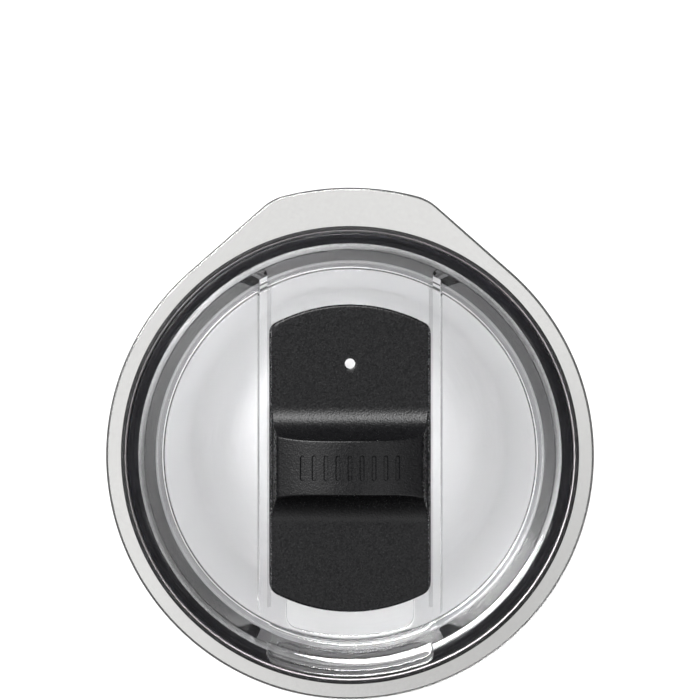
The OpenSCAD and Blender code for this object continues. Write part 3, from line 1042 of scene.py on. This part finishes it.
def make_pan(material):
    """Steel pan under the shell's vacuum bottom."""
    low, high = corners("bottom_cover")
    edge = 0.4
    outer_r = BASE_R - SHELL_CORNER_R - 0.02
    inner_r = outer_r - SHELL_T
    plate_z = low[2] + SHELL_T
    profile = [(0, low[2])] + arc(outer_r - edge, low[2] + edge, edge, -90, 0, 5)
    profile += [(outer_r, high[2]), (inner_r, high[2])]
    profile += [(inner_r, plate_z + edge), (inner_r - edge, plate_z), (0, plate_z)]
    pan = revolve("base_pan", profile, closed=False)
    give(pan, "tumbler", material, "bottom_cover")


def make_foot(material):
    """Silicone disc that the tumbler stands on, with a round groove in its underside."""
    groove_middle = FOOT_R - 5
    groove_r = 0.5
    groove_edge = 0.6
    edge = 0.6
    top_z = corners("foot_pad")[1][2] - 0.01
    profile = [(0, 0), (groove_middle - groove_edge, 0)]
    profile += arc(groove_middle, 0, groove_r, 180, 0, 8) + [(groove_middle + groove_edge, 0)]
    profile += arc(FOOT_R - edge, edge, edge, -90, 0, 6) + [(FOOT_R, top_z), (0, top_z)]
    foot = revolve("foot_disc", profile, closed=False)
    give(foot, "tumbler", material, "foot_pad")


def dress_hidden_nodes():
    """Materials for the CAD nodes that stay as they are, inside the walls and under the slider."""
    sheet = inner_metal("vacuum_sheet", (0.5, 0.5, 0.51), (0.6, 0.6, 0.61), 0.3, 400)
    materials = {
        "radiation_foil": inner_metal("foil", (0.75, 0.74, 0.72), (0.85, 0.84, 0.82), 0.15, 150),
        "getter": inner_metal("sintered_pill", (0.12, 0.12, 0.13), (0.2, 0.2, 0.21), 0.7, 2500),
        "getter_clip": sheet,
        "shell_bottom": sheet,
        "sealing_bead": solder_glass(),
        "slider_seal": silicone("seal_silicone", (0.06, 0.06, 0.065), (0.08, 0.08, 0.085)),
    }
    for name, material in materials.items():
        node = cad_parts[name]
        node.data.materials.clear()
        node.data.materials.append(material)


# ---------------------------------------------------------------- scene

def make_floor():
    """Large floor. It lies just under the foot, so that the two faces don't coincide."""
    half = 3000.0
    z = -0.1
    plan = [(-half, -half), (half, -half), (half, half), (-half, half)]
    mesh = bpy.data.meshes.new("floor")
    mesh.from_pydata([to_scene(x, y, z) for x, y in plan], [], [(0, 1, 2, 3)])
    floor = bpy.data.objects.new("floor", mesh)
    bpy.context.scene.collection.objects.link(floor)
    floor.data.materials.append(floor_paint())


def make_softbox(name, target, direction, distance, width, height, power):
    """Area light in a direction from the target, facing it. Distance, width and height are in metres."""
    data = bpy.data.lights.new(name, "AREA")
    data.shape = "RECTANGLE"
    data.size = width
    data.size_y = height
    data.energy = power
    light = bpy.data.objects.new(name, data)
    unit = Vector(direction).normalized()
    light.location = target + unit * distance
    light.rotation_euler = (-unit).to_track_quat("-Z", "Y").to_euler()
    bpy.context.scene.collection.objects.link(light)


def make_sky():
    """Studio surroundings: a wide bright ceiling with a dark hole for the camera.

    It is brighter on the left and dims towards the horizon. Seen from above, black flags at the upper right
    and the lower left leave it bright along the diagonal between them.
    """
    # Angle from the zenith in degrees, and level
    bands = [(90, 0.12), (70, 0.25), (60, 1.0), (17, 1.0), (10, 0.01)]
    left_strength = 8.6
    right_strength = 2.4
    behind_flag = 0.08
    world = bpy.data.worlds.new("studio")
    world.use_nodes = True
    n = Nodes(world.node_tree)
    background = n.tree.nodes["Background"]
    direction = n.split(n.node("ShaderNodeTexCoord").outputs["Generated"])
    ramp = n.node("ShaderNodeValToRGB")
    stops = ramp.color_ramp.elements
    while len(stops) < len(bands):
        stops.new(0.5)
    for stop, (off_zenith, level) in zip(stops, bands):
        stop.position = math.cos(math.radians(off_zenith))
        stop.color = (level, level, level, 1)
    n.link(direction["Z"], ramp.inputs["Fac"])
    n.link(ramp.outputs["Color"], background.inputs["Color"])
    side = n.span(direction["X"], left_strength, right_strength, -0.8, 0.8)
    off_diagonal = n.calculate("ABSOLUTE", n.calculate("ADD", direction["X"], direction["Y"]))
    flags = n.span(off_diagonal, 1.0, behind_flag, 0.05, 0.8)
    n.link(n.calculate("MULTIPLY", side, flags), background.inputs["Strength"])
    bpy.context.scene.world = world


def make_lights():
    """One softbox over the far left, and the sky."""
    make_softbox("key", to_scene(0, 0, LID_TOP), direction=(-0.27, 0.54, 0.8), distance=1.3,
                 width=1.1, height=0.5, power=50)
    make_sky()


def make_camera():
    """Straight above, with +Y up in the picture. The object stands below the middle of the picture."""
    distance = 1.3
    picture_w = 133.0
    aim_y = 20.0
    data = bpy.data.cameras.new("camera")
    data.sensor_width = 36.0
    data.lens = data.sensor_width * distance / (picture_w * MM)
    data.clip_end = 20
    camera = bpy.data.objects.new("camera", data)
    camera.location = to_scene(0, aim_y, LID_TOP) + Vector((0, 0, distance))
    bpy.context.scene.collection.objects.link(camera)
    bpy.context.scene.camera = camera


make_camera()
make_floor()
make_lights()
bpy.context.scene.view_settings.view_transform = "Standard"
# Light has to get down the deep steel cup and back out through the lid
bpy.context.scene.cycles.max_bounces = 24
bpy.context.scene.cycles.glossy_bounces = 12
bpy.context.scene.cycles.transmission_bounces = 16
bpy.context.scene.cycles.transparent_max_bounces = 16

make_shell(powder_coat())
make_liner(satin_steel())
make_pan(brushed_steel())
make_foot(silicone("foot_silicone", (0.035, 0.035, 0.04), (0.05, 0.05, 0.055), 0.6))
make_gasket(silicone("gasket_silicone", (0.002, 0.002, 0.0025), (0.004, 0.004, 0.0045), 0.16))
make_lid(clear_plastic())
make_slider(textured_plastic())
dress_hidden_nodes()
